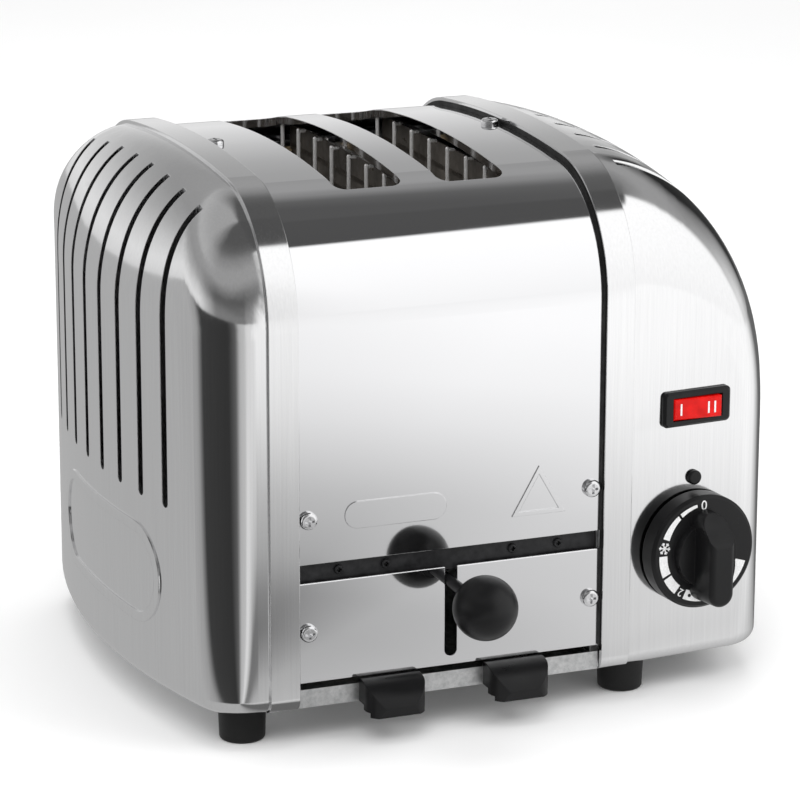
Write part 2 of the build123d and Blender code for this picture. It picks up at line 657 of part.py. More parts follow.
with BuildPart() as eject_lever:
    add(limb((KNEE_Y, ROD_Z), (SHAFT_Y, SHAFT_Z), 9, MIDDLE_X, LEVER_THICK))
    add(limb((SHAFT_Y, SHAFT_Z), (TIP_Y, TIP_Z), 2 * LEVER_TIP_R - 1, MIDDLE_X, LEVER_THICK))
    add(rod_along_x(MIDDLE_X - 7, MIDDLE_X + 7, SHAFT_Y, SHAFT_Z, 7))
    add(rod_along_y(MIDDLE_X, KNOB_Y + 5, KNEE_Y, ROD_Z, ROD_R))
    add(rod_along_x(MIDDLE_X - 5, MIDDLE_X + 5, TIP_Y, TIP_Z, LEVER_TIP_R))
    add(rod_along_x(MIDDLE_X - 8, MIDDLE_X + 8, SHAFT_Y, SHAFT_Z, SHAFT_R + RUNNING), mode=Mode.SUBTRACT)
write(eject_lever, "eject_lever")

with BuildPart() as lever_knob:
    with Locations((MIDDLE_X, KNOB_Y, ROD_Z)):
        Sphere(KNOB_R)
    add(rod_along_y(MIDDLE_X, KNOB_Y + KNOB_R - 0.8, KNOB_Y + KNOB_R + 2.5, ROD_Z, 4.2))
    add(rod_along_y(MIDDLE_X, KNOB_Y + 5, KNOB_Y + 20, ROD_Z, ROD_R), mode=Mode.SUBTRACT)
write(lever_knob, "lever_knob")

YOKE_TOP = RACK_Z - 10
LUG_BOTTOM = TIP_Z + LEVER_TIP_R + LIFT_GAP

with BuildPart() as lift_yoke:
    add(block((GUIDE_X[0], GUIDE_X[1]), (84, 92), (YOKE_TOP - 9, YOKE_TOP)))
    for x in GUIDE_X:
        with Locations((x, GUIDE_Y, YOKE_TOP - 5)):
            Cylinder(5.5, 22)
    add(block((MIDDLE_X - 6, MIDDLE_X + 6), (81, 84), (LUG_BOTTOM, YOKE_TOP)))
    add(block((MIDDLE_X - 6, MIDDLE_X + 6), (65, 84), (LUG_BOTTOM, LUG_BOTTOM + 3.5)))
    for x in GUIDE_X:
        with Locations((x, GUIDE_Y, YOKE_TOP)):
            Cylinder(GUIDE_R + RUNNING, 60, mode=Mode.SUBTRACT)
write(lift_yoke, "lift_yoke")

for rack_side, rack_x in zip(("left", "right"), SLOT_CENTRES):
    web = (rack_x - RACK_WEB / 2, rack_x + RACK_WEB / 2)
    with BuildPart() as bread_rack:
        add(block(web, (-68, 92), (YOKE_TOP, RACK_Z)))
        add(block((rack_x - 9, rack_x + 9), (-68, 70), (RACK_Z, RACK_Z + PLATE)))
        with BuildSketch(Plane.XY.offset(RACK_Z)):
            with Locations((rack_x, 1)):
                with GridLocations(10, 12, 2, 11):
                    SlotOverall(9, 4, rotation=90)
        extrude(amount=PLATE, mode=Mode.SUBTRACT)
    write(bread_rack, f"bread_rack_{rack_side}")

GUIDE_TOP = 122.0

with BuildPart() as guide_rods:
    for x in GUIDE_X:
        with Locations((x, GUIDE_Y, (22.6 + PLATE + GUIDE_TOP) / 2)):
            Cylinder(GUIDE_R, GUIDE_TOP - 22.6 - PLATE)
write(guide_rods, "guide_rods")

with BuildPart() as guide_bracket:
    bracket_x = (GUIDE_X[0] - 8, GUIDE_X[1] + 8)
    bracket_y = INNER_Y + SHEET
    add(block(bracket_x, (bracket_y, GUIDE_Y + 6), (GUIDE_TOP, GUIDE_TOP + PLATE)))
    add(block(bracket_x, (bracket_y, bracket_y + PLATE), (GUIDE_TOP + PLATE, GUIDE_TOP + 12)))
write(guide_bracket, "guide_bracket")

# ------------------------------------------------------------------ crumb tray
TRAY_X = (MIDDLE_X - TRAY_HALF_X, MIDDLE_X + TRAY_HALF_X)
TRAY_FRONT = PANEL_FACE + TRAY_SHEET

with BuildPart() as crumb_tray:
    add(block(TRAY_X, (PANEL_FACE, TRAY_REAR), (TRAY_FLOOR, TRAY_WALL_TOP)))
    add(block((TRAY_X[0] + TRAY_SHEET, TRAY_X[1] - TRAY_SHEET), (TRAY_FRONT, TRAY_REAR - TRAY_SHEET),
              (TRAY_FLOOR + TRAY_SHEET, TRAY_WALL_TOP)), mode=Mode.SUBTRACT)
    add(block((JOINT_LEFT + 0.4, JOINT_RIGHT - 0.4), (PANEL_FACE, TRAY_FRONT), (14.3, 21.5)))
write(crumb_tray, "crumb_tray")

RUNNERS = (("left", INNER_LEFT, TRAY_X[0] + 4), ("right", INNER_RIGHT, TRAY_X[1] - 4))
for runner_side, x_wall, x_foot in RUNNERS:
    wall_span = sorted((x_wall, x_wall + (0.8 if runner_side == "left" else -0.8)))
    foot_span = sorted((x_wall, x_foot))
    with BuildPart() as tray_runner:
        add(block(wall_span, (-98, 96), (BASE_Z, 22.5)))
        add(block(foot_span, (-98, 96), (BASE_Z, BASE_Z + 1)))
    write(tray_runner, f"tray_runner_{runner_side}")

TAB_X = {"left": MIDDLE_X - 25.5, "right": MIDDLE_X + 25.5}
TAB_WIDTH = 24.0
TAB_REACH = 13.0
TAB_BACK = PANEL_FACE - 0.02
TAB_TOP = 23.4
TAB_NOSE = 10.5
TAB_CORNER = 7.0
TAB_STEPS = ((9.5, 12.3), (5.0, 14.3))  # reach and underside height of each rib behind the nose


def tab_lip(tab_x):
    """Thumb lip that curls over at the front, with two ribs stepping up behind its nose."""
    front = TAB_BACK - TAB_REACH
    with BuildPart() as lip:
        with BuildSketch(Plane.YZ.offset(tab_x - TAB_WIDTH / 2)):
            with BuildLine():
                ThreePointArc((TAB_BACK, TAB_TOP), (front + 3.2, TAB_TOP - 3.0), (front, TAB_TOP - 9.4))
                corners = [(front, TAB_TOP - 9.4), (front + 0.8, TAB_NOSE)]
                for reach, low in TAB_STEPS:
                    corners += [(TAB_BACK - reach, corners[-1][1]), (TAB_BACK - reach, low)]
                corners += [(TAB_BACK, TAB_STEPS[-1][1]), (TAB_BACK, TAB_TOP)]
                Polyline(*corners)
            make_face()
        extrude(amount=TAB_WIDTH)
        with BuildSketch(Plane.XY):
            with Locations((tab_x, TAB_BACK)):
                RectangleRounded(TAB_WIDTH, 2 * TAB_REACH, TAB_CORNER)
        extrude(amount=TAB_TOP + 1, mode=Mode.INTERSECT)
    return lip.part


for tab_side, tab_x in TAB_X.items():
    with BuildPart() as tray_tab:
        add(tab_lip(tab_x))
    write(tray_tab, f"tray_tab_{tab_side}")

# ------------------------------------------------------------------ timer and selector
GRIP_LENGTH = 37.0
GRIP_WIDTH = 12.5
GRIP_HEIGHT = 15.5
GRIP_SLOPE = ((6.5, GRIP_HEIGHT), (17.0, 5.5))  # slope of its pointer end: up the dial, out from the root


def dial_grip():
    """Upright finger grip that slopes down to a pointer at its top."""
    root = control_plane(DIAL_Z, DIAL_GAP + DIAL_THICK - 0.5)
    side = Plane(origin=root.origin, x_dir=root.y_dir, z_dir=root.x_dir)
    with BuildPart() as grip:
        with BuildSketch(root):
            with Locations((0, -1)):
                SlotOverall(GRIP_LENGTH, GRIP_WIDTH, rotation=90)
        extrude(amount=GRIP_HEIGHT, taper=4)
        with BuildSketch(side.offset(-GRIP_WIDTH)):
            with BuildLine():
                Polyline(*GRIP_SLOPE, (GRIP_LENGTH, GRIP_SLOPE[1][1]), (GRIP_LENGTH, GRIP_HEIGHT + 5),
                         (GRIP_SLOPE[0][0], GRIP_HEIGHT + 5), GRIP_SLOPE[0])
            make_face()
        extrude(amount=2 * GRIP_WIDTH, mode=Mode.SUBTRACT)
        fillet(grip.faces().sort_by(Axis((0, 0, 0), CONTROL_NORMAL))[-1].edges(), 2.2)
    return grip.part


with BuildPart() as timer_dial:
    with BuildSketch(control_plane(DIAL_Z, DIAL_GAP)):
        Circle(DIAL_R)
    extrude(amount=DIAL_THICK)
    chamfer(timer_dial.edges().sort_by(Axis((0, 0, 0), CONTROL_NORMAL))[-1:], 1.2)
    with BuildSketch(control_plane(DIAL_Z, DIAL_GAP + DIAL_THICK - 0.5)):
        Circle(13.5)
    extrude(amount=4, taper=8)
    add(dial_grip())
    with BuildSketch(control_plane(DIAL_Z, 0)):
        Circle(SHAFT_TIMER_R)
    extrude(amount=12, mode=Mode.SUBTRACT)
write(timer_dial, "timer_dial")

TIMER_DEPTH = 32.0
TIMER_FACE = -WALL - 0.6

with BuildPart() as timer_case:
    with BuildSketch(control_plane(DIAL_Z, TIMER_FACE)):
        RectangleRounded(42, 42, 3)
    extrude(amount=-TIMER_DEPTH)
    with BuildSketch(control_plane(DIAL_Z, TIMER_FACE)):
        Circle(SHAFT_TIMER_R + RUNNING)
    extrude(amount=-12, mode=Mode.SUBTRACT)
write(timer_case, "timer_case")

with BuildPart() as timer_shaft:
    with BuildSketch(control_plane(DIAL_Z, TIMER_FACE - 11)):
        Circle(SHAFT_TIMER_R)
    extrude(amount=11 - TIMER_FACE + 12)
write(timer_shaft, "timer_shaft")

with BuildPart() as dial_index_stud:
    with BuildSketch(control_plane(STUD_Z, 0.35)):
        Circle(2.9)
    extrude(amount=1.6)
    fillet(dial_index_stud.edges().sort_by(Axis((0, 0, 0), CONTROL_NORMAL))[-1:], 0.8)
    with BuildSketch(control_plane(STUD_Z, 0.4)):
        Circle(1.3)
    extrude(amount=-5)
write(dial_index_stud, "dial_index_stud")

BEZEL = (30.0, 14.0)
BEZEL_RISE = 2.4
HOUSING = (23.2, 10.2)
HOUSING_DEPTH = 24.0
ROCKER_WELL = (22.0, 9.2)
WELL_DEPTH = 15.0
ROCKER = (20.4, 8.3)
ROCKER_OUT = 3.4
PIVOT_R = 1.0

with BuildPart() as switch_housing:
    with BuildSketch(control_plane(SWITCH_Z, 0.35)):
        RectangleRounded(*BEZEL, 2.0)
    extrude(amount=BEZEL_RISE - 0.35)
    chamfer(switch_housing.edges().group_by(Axis((0, 0, 0), CONTROL_NORMAL))[-1], 1.0)
    with BuildSketch(control_plane(SWITCH_Z, 1)):
        Rectangle(*HOUSING)
    extrude(amount=-HOUSING_DEPTH)
    with BuildSketch(control_plane(SWITCH_Z, BEZEL_RISE + 1)):
        Rectangle(*ROCKER_WELL)
    extrude(amount=-WELL_DEPTH, mode=Mode.SUBTRACT)
write(switch_housing, "switch_housing")

rocker_base = control_plane(SWITCH_Z, -ROCKER_DEPTH)
rocker_turn = TAPER_ANGLE - radians(ROCKER_TILT)
rocker_plane = Plane(origin=rocker_base.origin, x_dir=(cos(rocker_turn), sin(rocker_turn), 0),
                     z_dir=(sin(rocker_turn), -cos(rocker_turn), 0))

with BuildPart() as switch_pivot:
    with BuildSketch(Plane.XY.offset(SWITCH_Z - ROCKER_WELL[1] / 2)):
        with Locations((rocker_base.origin.X, rocker_base.origin.Y)):
            Circle(PIVOT_R)
    extrude(amount=ROCKER_WELL[1])
write(switch_pivot, "switch_pivot")

with BuildPart() as switch_rocker:
    with BuildSketch(rocker_plane.offset(-3)):
        Rectangle(*ROCKER)
    extrude(amount=3 + ROCKER_DEPTH + ROCKER_OUT)
    chamfer(switch_rocker.edges().group_by(Axis((0, 0, 0), rocker_plane.z_dir))[-1], 0.5)
    with BuildSketch(Plane.XY.offset(SWITCH_Z - 10)):
        with Locations((rocker_base.origin.X, rocker_base.origin.Y)):
            Circle(PIVOT_R + RUNNING)
    extrude(amount=20, mode=Mode.SUBTRACT)
write(switch_rocker, "switch_rocker")

with BuildPart() as switch_terminals:
    with BuildSketch(control_plane(SWITCH_Z, 1 - HOUSING_DEPTH)):
        with GridLocations(7, 5, 3, 1):
            Rectangle(0.8, 6.3)
    extrude(amount=-8)
write(switch_terminals, "switch_terminals")

# ------------------------------------------------------------------ mains inlet
FLOOR_TOP = BASE_Z + WALL + 1.5

with BuildPart() as cable_gland:
    add(rod_along_y(GLAND_X, 94, RIM_HALF - BELL_STEP, GLAND_Z, GLAND_THREAD_R))
    add(rod_along_y(GLAND_X, RIM_HALF - BELL_STEP, RIM_HALF - BELL_STEP + GLAND_REACH, GLAND_Z, 9))
    fillet(cable_gland.edges().sort_by(Axis.Y)[-1:], 2)
    add(rod_along_y(GLAND_X, 90, 115, GLAND_Z, 3.6), mode=Mode.SUBTRACT)
write(cable_gland, "cable_gland")

with BuildPart() as gland_nut:
    with BuildSketch(Plane.XZ.offset(-94.2)):
        with Locations((GLAND_X, GLAND_Z)):
            RegularPolygon(10, 6)
            Circle(GLAND_THREAD_R, mode=Mode.SUBTRACT)
    extrude(amount=-5.5)
write(gland_nut, "gland_nut")

with BuildPart() as terminal_block:
    add(block((72, 98), (40, 56), (FLOOR_TOP, FLOOR_TOP + 16)))
    with BuildSketch(Plane.XZ.offset(-40)):
        with Locations(*[(x, FLOOR_TOP + 8) for x in (77, 85, 93)]):
            Circle(2.2)
    extrude(amount=-16, mode=Mode.SUBTRACT)
write(terminal_block, "terminal_block")

with BuildPart() as earth_stud:
    with Locations((66, 64, FLOOR_TOP + 6)):
        Cylinder(2, 12)
    with BuildSketch(Plane.XY.offset(FLOOR_TOP)):
        with Locations((66, 64)):
            RegularPolygon(4.2, 6)
    extrude(amount=3)
write(earth_stud, "earth_stud")
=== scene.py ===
"""Looks for the two-slot toaster: materials, printed marks, studio and camera.

Everything is in metres in the row's frame: +X right along the front, +Y to the back, +Z up."""
import json
import math

import bpy
from mathutils import Euler, Matrix, Vector


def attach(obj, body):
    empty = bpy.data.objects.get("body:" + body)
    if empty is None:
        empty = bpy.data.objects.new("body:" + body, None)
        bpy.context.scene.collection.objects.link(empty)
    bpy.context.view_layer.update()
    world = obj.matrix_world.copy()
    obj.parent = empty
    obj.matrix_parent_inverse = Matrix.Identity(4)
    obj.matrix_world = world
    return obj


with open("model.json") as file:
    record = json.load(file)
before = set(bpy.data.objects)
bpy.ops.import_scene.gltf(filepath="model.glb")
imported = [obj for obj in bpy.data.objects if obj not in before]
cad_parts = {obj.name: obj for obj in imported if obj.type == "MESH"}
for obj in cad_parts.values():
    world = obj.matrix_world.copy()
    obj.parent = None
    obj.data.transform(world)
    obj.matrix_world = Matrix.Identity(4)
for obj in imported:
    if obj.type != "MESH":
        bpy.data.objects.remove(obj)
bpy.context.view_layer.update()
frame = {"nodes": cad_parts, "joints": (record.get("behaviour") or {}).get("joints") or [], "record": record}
NODES = frame["nodes"]
JOINTS = {joint["name"]: joint for joint in frame["joints"]}
UP = Vector((0, 0, 1))

# ------------------------------------------------------------------ camera
CAMERA_PLACE = (-0.5207, -1.2861, 0.4883)
CAMERA_PITCH = 15.435  # degrees below level
CAMERA_YAW = 21.743  # degrees towards +X from +Y
CAMERA_ROLL = 0.128
CAMERA_LENS = 162.26  # on a 36 mm square sensor


def make_camera():
    """Camera at the photograph's viewing angle."""
    data = bpy.data.cameras.new("camera")
    data.lens = CAMERA_LENS
    data.sensor_width = 36.0
    data.clip_start = 0.05
    camera = bpy.data.objects.new("camera", data)
    bpy.context.scene.collection.objects.link(camera)
    camera.location = CAMERA_PLACE
    turn = Euler((math.radians(90 - CAMERA_PITCH), 0, math.radians(-CAMERA_YAW)), "XYZ").to_matrix()
    roll = Matrix.Rotation(math.radians(CAMERA_ROLL), 3, "Z")
    camera.rotation_euler = (turn @ roll).to_euler()
    bpy.context.scene.camera = camera


make_camera()

# ------------------------------------------------------------------ node helpers


class Shader:
    """A material with a principled shader and short ways to add nodes to it."""

    def __init__(self, name, color, metallic=0.0, roughness=0.5, **sockets):
        self.material = bpy.data.materials.new(name)
        self.material.use_nodes = True
        self.tree = self.material.node_tree
        self.bsdf = self.tree.nodes["Principled BSDF"]
        self.set("Base Color", (*color, 1.0))
        self.set("Metallic", metallic)
        self.set("Roughness", roughness)
        for socket, value in sockets.items():
            self.set(socket.replace("_", " "), value)

    def set(self, socket, value):
        self.bsdf.inputs[socket].default_value = value

    def add(self, kind, **settings):
        node = self.tree.nodes.new(kind)
        for key, value in settings.items():
            if key in node.inputs:
                node.inputs[key].default_value = value
            else:
                setattr(node, key, value)
        return node

    def link(self, output, target):
        self.tree.links.new(output, target)

    def place(self, scale=(1, 1, 1)):
        """Object coordinates in metres, scaled per axis."""
        coords = self.add("ShaderNodeTexCoord")
        mapping = self.add("ShaderNodeMapping")
        mapping.inputs["Scale"].default_value = scale
        self.link(coords.outputs["Object"], mapping.inputs["Vector"])
        return mapping.outputs["Vector"]

    def noise(self, scale, stretch=(1, 1, 1), detail=4.0, roughness=0.55):
        """Noise value between 0 and 1, with `scale` cells per metre, stretched per axis."""
        node = self.add("ShaderNodeTexNoise")
        node.inputs["Scale"].default_value = scale
        node.inputs["Detail"].default_value = detail
        node.inputs["Roughness"].default_value = roughness
        self.link(self.place(stretch), node.inputs["Vector"])
        return node.outputs["Fac"]

    def spread(self, value, low, high, from_low=0.3, from_high=0.7):
        """Maps a noise value to the range from low to high."""
        node = self.add("ShaderNodeMapRange")
        node.inputs["From Min"].default_value = from_low
        node.inputs["From Max"].default_value = from_high
        node.inputs["To Min"].default_value = low
        node.inputs["To Max"].default_value = high
        self.link(value, node.inputs["Value"])
        return node.outputs["Result"]

    def vary(self, socket, value, low, high, from_low=0.3, from_high=0.7):
        self.link(self.spread(value, low, high, from_low, from_high), self.bsdf.inputs[socket])

    def tint(self, value, dark, light, from_low=0.3, from_high=0.7):
        """Base colour between two colours."""
        ramp = self.add("ShaderNodeValToRGB")
        ramp.color_ramp.elements[0].position = from_low
        ramp.color_ramp.elements[1].position = from_high
        ramp.color_ramp.elements[0].color = (*dark, 1)
        ramp.color_ramp.elements[1].color = (*light, 1)
        self.link(value, ramp.inputs["Fac"])
        self.link(ramp.outputs["Color"], self.bsdf.inputs["Base Color"])

    def relief(self, value, height, strength=1.0, soften=0.0):
        """Bump from a value, `height` metres deep, with optional rounded edges."""
        bump = self.add("ShaderNodeBump")
        bump.inputs["Distance"].default_value = height
        bump.inputs["Strength"].default_value = strength
        self.link(value, bump.inputs["Height"])
        if soften:
            self.link(self.rounded(soften), bump.inputs["Normal"])
        self.link(bump.outputs["Normal"], self.bsdf.inputs["Normal"])

    def rounded(self, radius):
        """Normal that rounds sharp edges by radius metres."""
        bevel = self.add("ShaderNodeBevel", samples=4)
        bevel.inputs["Radius"].default_value = radius
        return bevel.outputs["Normal"]


# ------------------------------------------------------------------ materials
def cast_aluminium():
    """Polished casting with faint upright brushing."""
    s = Shader("cast_aluminium", (0.86, 0.86, 0.865), 1.0, 0.1)
    brushing = s.noise(1500, (1, 1, 0.012), 4, 0.65)
    s.tint(brushing, (0.835, 0.835, 0.84), (0.885, 0.885, 0.89))
    s.vary("Roughness", s.noise(38, (1, 1, 0.25), 5), 0.075, 0.13)
    s.relief(brushing, 0.00001, 0.3, 0.0004)
    return s.material


def polished_steel():
    """Mirror-polished sheet with faint handling marks."""
    s = Shader("polished_steel", (0.87, 0.87, 0.88), 1.0, 0.05)
    s.vary("Roughness", s.noise(22, detail=6), 0.035, 0.075)
    s.relief(s.noise(9, detail=2), 0.00006, 0.25, 0.0003)
    return s.material


def galvanised_steel():
    """Dull zinc with a fine spangle and scuffs."""
    s = Shader("galvanised_steel", (0.66, 0.67, 0.67), 1.0, 0.38)
    spangle = s.noise(420, detail=6, roughness=0.7)
    s.tint(spangle, (0.50, 0.51, 0.51), (0.80, 0.80, 0.80))
    s.vary("Roughness", s.noise(90, detail=5), 0.28, 0.48)
    s.relief(spangle, 0.00003, 0.4)
    return s.material


def black_steel():
    """Blackened strip, worn a little at the edges."""
    s = Shader("black_steel", (0.012, 0.012, 0.013), 0.4, 0.4)
    wear = s.noise(260, detail=6)
    s.tint(wear, (0.008, 0.008, 0.009), (0.03, 0.03, 0.032))
    s.vary("Roughness", wear, 0.3, 0.5)
    s.relief(wear, 0.00002, 0.4, 0.0003)
    return s.material


def screw_steel():
    """Bright zinc-plated screws and pins with turning marks."""
    s = Shader("screw_steel", (0.82, 0.82, 0.83), 1.0, 0.14)
    s.vary("Roughness", s.noise(700, detail=4), 0.08, 0.24)
    s.relief(s.noise(1500, detail=3), 0.00001, 0.3, 0.0002)
    return s.material


def foot_rubber():
    """Moulded black rubber."""
    s = Shader("foot_rubber", (0.008, 0.008, 0.008), 0.0, 0.55, Specular_IOR_Level=0.3)
    grain = s.noise(1400, detail=4)
    s.vary("Roughness", s.noise(120), 0.42, 0.62)
    s.relief(grain, 0.00004, 0.35, 0.0004)
    return s.material


def black_plastic():
    """Satin phenolic with a faint moulded texture."""
    s = Shader("black_plastic", (0.006, 0.006, 0.0065), 0.0, 0.32, Specular_IOR_Level=0.3)
    s.vary("Roughness", s.noise(160, detail=5), 0.26, 0.42)
    s.relief(s.noise(2200, detail=3), 0.000012, 0.35, 0.0004)
    return s.material


def mica():
    """Sheet mica: brown grey with layered flakes."""
    s = Shader("mica", (0.06, 0.05, 0.043), 0.0, 0.42)
    flakes = s.noise(75, (1, 1, 0.45), 8, 0.7)
    s.tint(flakes, (0.060, 0.053, 0.046), (0.17, 0.152, 0.134), 0.35, 0.68)
    s.vary("Roughness", s.noise(210, detail=6), 0.25, 0.6)
    s.relief(flakes, 0.0001, 0.4)
    return s.material


def heating_ribbon():
    """Oxidised resistance ribbon."""
    s = Shader("heating_ribbon", (0.20, 0.18, 0.16), 0.9, 0.45)
    scale = s.noise(500, detail=5)
    s.tint(scale, (0.12, 0.105, 0.09), (0.30, 0.27, 0.24))
    s.vary("Roughness", scale, 0.35, 0.6)
    return s.material


def ceramic():
    """Unglazed beige ceramic."""
    s = Shader("ceramic", (0.42, 0.33, 0.20), 0.0, 0.75)
    pores = s.noise(650, detail=6)
    s.tint(pores, (0.33, 0.25, 0.14), (0.50, 0.40, 0.26))
    s.relief(pores, 0.00005, 0.5, 0.0003)
    return s.material


def guard_wire():
    """Bright drawn wire."""
    s = Shader("guard_wire", (0.90, 0.89, 0.88), 0.45, 0.25)
    s.vary("Roughness", s.noise(900, (1, 1, 0.1), 3), 0.18, 0.34)
    return s.material


def timer_metal():
    """Plain pressed timer case."""
    s = Shader("timer_case", (0.62, 0.61, 0.58), 1.0, 0.3)
    s.vary("Roughness", s.noise(300, (1, 1, 0.2), 4), 0.22, 0.4)
    return s.material


def red_plastic():
    """Translucent red rocker moulding, with a painted red glow."""
    s = Shader("red_plastic", (0.50, 0.003, 0.002), 0.0, 0.2, Specular_IOR_Level=0.22)
    # Painted glow: a faint red emission stands in for light passing through the plastic.
    s.set("Emission Color", (1.0, 0.0, 0.0, 1))
    s.set("Emission Strength", 0.14)
    depth = s.noise(240, detail=3)
    s.tint(depth, (0.40, 0.002, 0.001), (0.62, 0.006, 0.004))
    s.relief(s.noise(900), 0.00001, 0.3, 0.0003)
    return s.material


def brass():
    """Plain brass blades."""
    s = Shader("brass", (0.78, 0.58, 0.25), 1.0, 0.28)
    s.vary("Roughness", s.noise(400), 0.2, 0.38)
    return s.material


def white_print():
    """Pad-printed white ink."""
    s = Shader("white_print", (0.80, 0.80, 0.80), 0.0, 0.5)
    s.tint(s.noise(1500, detail=4), (0.70, 0.70, 0.70), (0.86, 0.86, 0.86))
    return s.material


MATERIALS = {
    "cast_aluminium": cast_aluminium(),
    "polished_steel": polished_steel(),
    "galvanised_steel": galvanised_steel(),
    "black_steel": black_steel(),
    "screw_steel": screw_steel(),
    "foot_rubber": foot_rubber(),
    "black_plastic": black_plastic(),
    "mica": mica(),
    "heating_ribbon": heating_ribbon(),
    "ceramic": ceramic(),
    "guard_wire": guard_wire(),
    "timer_case": timer_metal(),
    "red_plastic": red_plastic(),
    "brass": brass(),
}
PRINT = white_print()


def paint_cad_nodes():
    """Gives every CAD node the material of its slot in the record."""
    for row in frame["record"]["subparts"]:
        mesh = NODES[row["node"]].data
        mesh.materials.clear()
        mesh.materials.append(MATERIALS[row["material_slot"]])


paint_cad_nodes()


# ------------------------------------------------------------------ pieces
def mesh_piece(name, vertices, faces, material, body):
    """A mesh object that rides on a body."""
    mesh = bpy.data.meshes.new(name)
    mesh.from_pydata([tuple(v) for v in vertices], [], faces)
    mesh.validate()
    mesh.materials.append(material)
    piece = bpy.data.objects.new(name, mesh)
    bpy.context.scene.collection.objects.link(piece)
    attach(piece, body)


# The control face: local x to the right, local y up, normal out of the face.
DIAL = JOINTS["timer_dial_turn"]
DIAL_CENTRE = Vector(DIAL["pos_m"])
FACE_NORMAL = -Vector(DIAL["axis"]).normalized()
FACE_RIGHT = UP.cross(FACE_NORMAL).normalized()
INK = 0.00012  # thickness of printed marks


def on_face(centre, right, normal, x, y, out):
    """Point on a face from local coordinates in metres."""
    return centre + right * x + UP * y + normal * out


def prism(name, outlines, centre, right, normal, out, thickness, material, body):
    """Closed prisms over flat outlines given as lists of local (x, y)."""
    vertices, faces = [], []
    for outline in outlines:
        start = len(vertices)
        count = len(outline)
        vertices += [on_face(centre, right, normal, x, y, out) for x, y in outline]
        vertices += [on_face(centre, right, normal, x, y, out + thickness) for x, y in outline]
        faces.append([start + count + i for i in range(count)])
        faces.append([start + i for i in reversed(range(count))])
        for i in range(count):
            j = (i + 1) % count
            faces.append([start + i, start + j, start + count + j, start + count + i])
    mesh_piece(name, vertices, faces, material, body)


# ------------------------------------------------------------------ dial marks
DIAL_FACE = 0.0092  # the flange's front above the control face
RING_OUTER = 0.0199


def ring_part(start, end, inner_start, inner_end, outer_start=RING_OUTER, outer_end=RING_OUTER, steps=10):
    """Outline of a ring segment; angles in degrees counter-clockwise from the top."""
    outer, inner = [], []
    for i in range(steps + 1):
        share = i / steps
        turn = math.radians(90 + start + (end - start) * share)
        r_out = outer_start + (outer_end - outer_start) * share
        r_in = inner_start + (inner_end - inner_start) * share
        outer.append((r_out * math.cos(turn), r_out * math.sin(turn)))
        inner.append((r_in * math.cos(turn), r_in * math.sin(turn)))
    return outer + inner[::-1]


def bar(x0, y0, x1, y1, width):
    """Outline of a straight bar between two points."""
    along = Vector((x1 - x0, y1 - y0)).normalized()
    side = Vector((-along.y, along.x)) * width / 2
    ends = (Vector((x0, y0)), Vector((x1, y1)))
    corners = (ends[0] + side, ends[0] - side, ends[1] - side, ends[1] + side)
    return [(corner.x, corner.y) for corner in corners]


def snow_icon(angle, radius, size):
    """Generic six-armed snowflake on the ring."""
    turn = math.radians(90 + angle)
    cx, cy = radius * math.cos(turn), radius * math.sin(turn)
    outlines = []
    for arm in range(6):
        way = math.radians(60 * arm) + turn
        tip = (cx + size * math.cos(way), cy + size * math.sin(way))
        outlines.append(bar(cx, cy, *tip, 0.00045))
        for lean in (-0.7, 0.7):
            knee = (cx + 0.55 * size * math.cos(way), cy + 0.55 * size * math.sin(way))
            end = (knee[0] + 0.4 * size * math.cos(way + lean), knee[1] + 0.4 * size * math.sin(way + lean))
            outlines.append(bar(*knee, *end, 0.00035))
    return outlines


def dial_marks():
    """Heat-time segments that widen counter-clockwise, a snowflake, a dotted block and two wedges."""
    widths = ((10, 33, 0.0188, 0.0182), (36, 67, 0.0180, 0.0169), (88, 114, 0.0164, 0.0162),
              (117.5, 139.5, 0.0162, 0.0160), (152.5, 178, 0.0160, 0.0159))
    outlines = [ring_part(start, end, low, high) for start, end, low, high in widths]
    outlines.append(ring_part(181, 201, 0.0160, 0.0182, RING_OUTER, 0.0184))
    outlines.append(ring_part(222, 252, 0.0192, 0.0150))
    outlines += snow_icon(78, 0.0181, 0.0025)
    prism("dial_marks", outlines, DIAL_CENTRE, FACE_RIGHT, FACE_NORMAL, DIAL_FACE, INK, PRINT,
          "timer_dial")
    turn = math.radians(90 + 160)
    dot = [(0.0179 * math.cos(turn) + 0.0007 * math.cos(step * math.pi / 8),
            0.0179 * math.sin(turn) + 0.0007 * math.sin(step * math.pi / 8)) for step in range(16)]
    prism("dial_dot", [dot], DIAL_CENTRE, FACE_RIGHT, FACE_NORMAL, DIAL_FACE + INK, INK,
          MATERIALS["black_plastic"], "timer_dial")


def dial_number(text, angle, radius, size):
    """A printed number that reads from the dial's rim."""
    curve = bpy.data.curves.new("dial_number_" + text, "FONT")
    curve.body = text
    curve.size = size
    curve.align_x = "CENTER"
    curve.align_y = "CENTER"
    curve.extrude = INK / 2
    turn = math.radians(angle)
    label = bpy.data.objects.new("dial_number_" + text, curve)
    bpy.context.scene.collection.objects.link(label)
    x, y = -radius * math.sin(turn), radius * math.cos(turn)
    basis = Matrix((FACE_RIGHT, UP, FACE_NORMAL)).transposed()
    label.matrix_world = Matrix.Translation(
        on_face(DIAL_CENTRE, FACE_RIGHT, FACE_NORMAL, x, y, DIAL_FACE + INK / 2)) @ (
            basis @ Matrix.Rotation(turn, 3, "Z")).to_4x4()
    curve.materials.append(PRINT)
    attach(label, "timer_dial")


dial_marks()
dial_number("0", 1, 0.0188, 0.0054)
dial_number("2", 146, 0.0180, 0.0045)

# ------------------------------------------------------------------ rocker marks
ROCKER = JOINTS["switch_rocker_tilt"]
ROCKER_TILT = math.radians(ROCKER["range_deg"][1]) / 2
ROCKER_FACE = 0.0059  # the rocker's face in front of its pivot


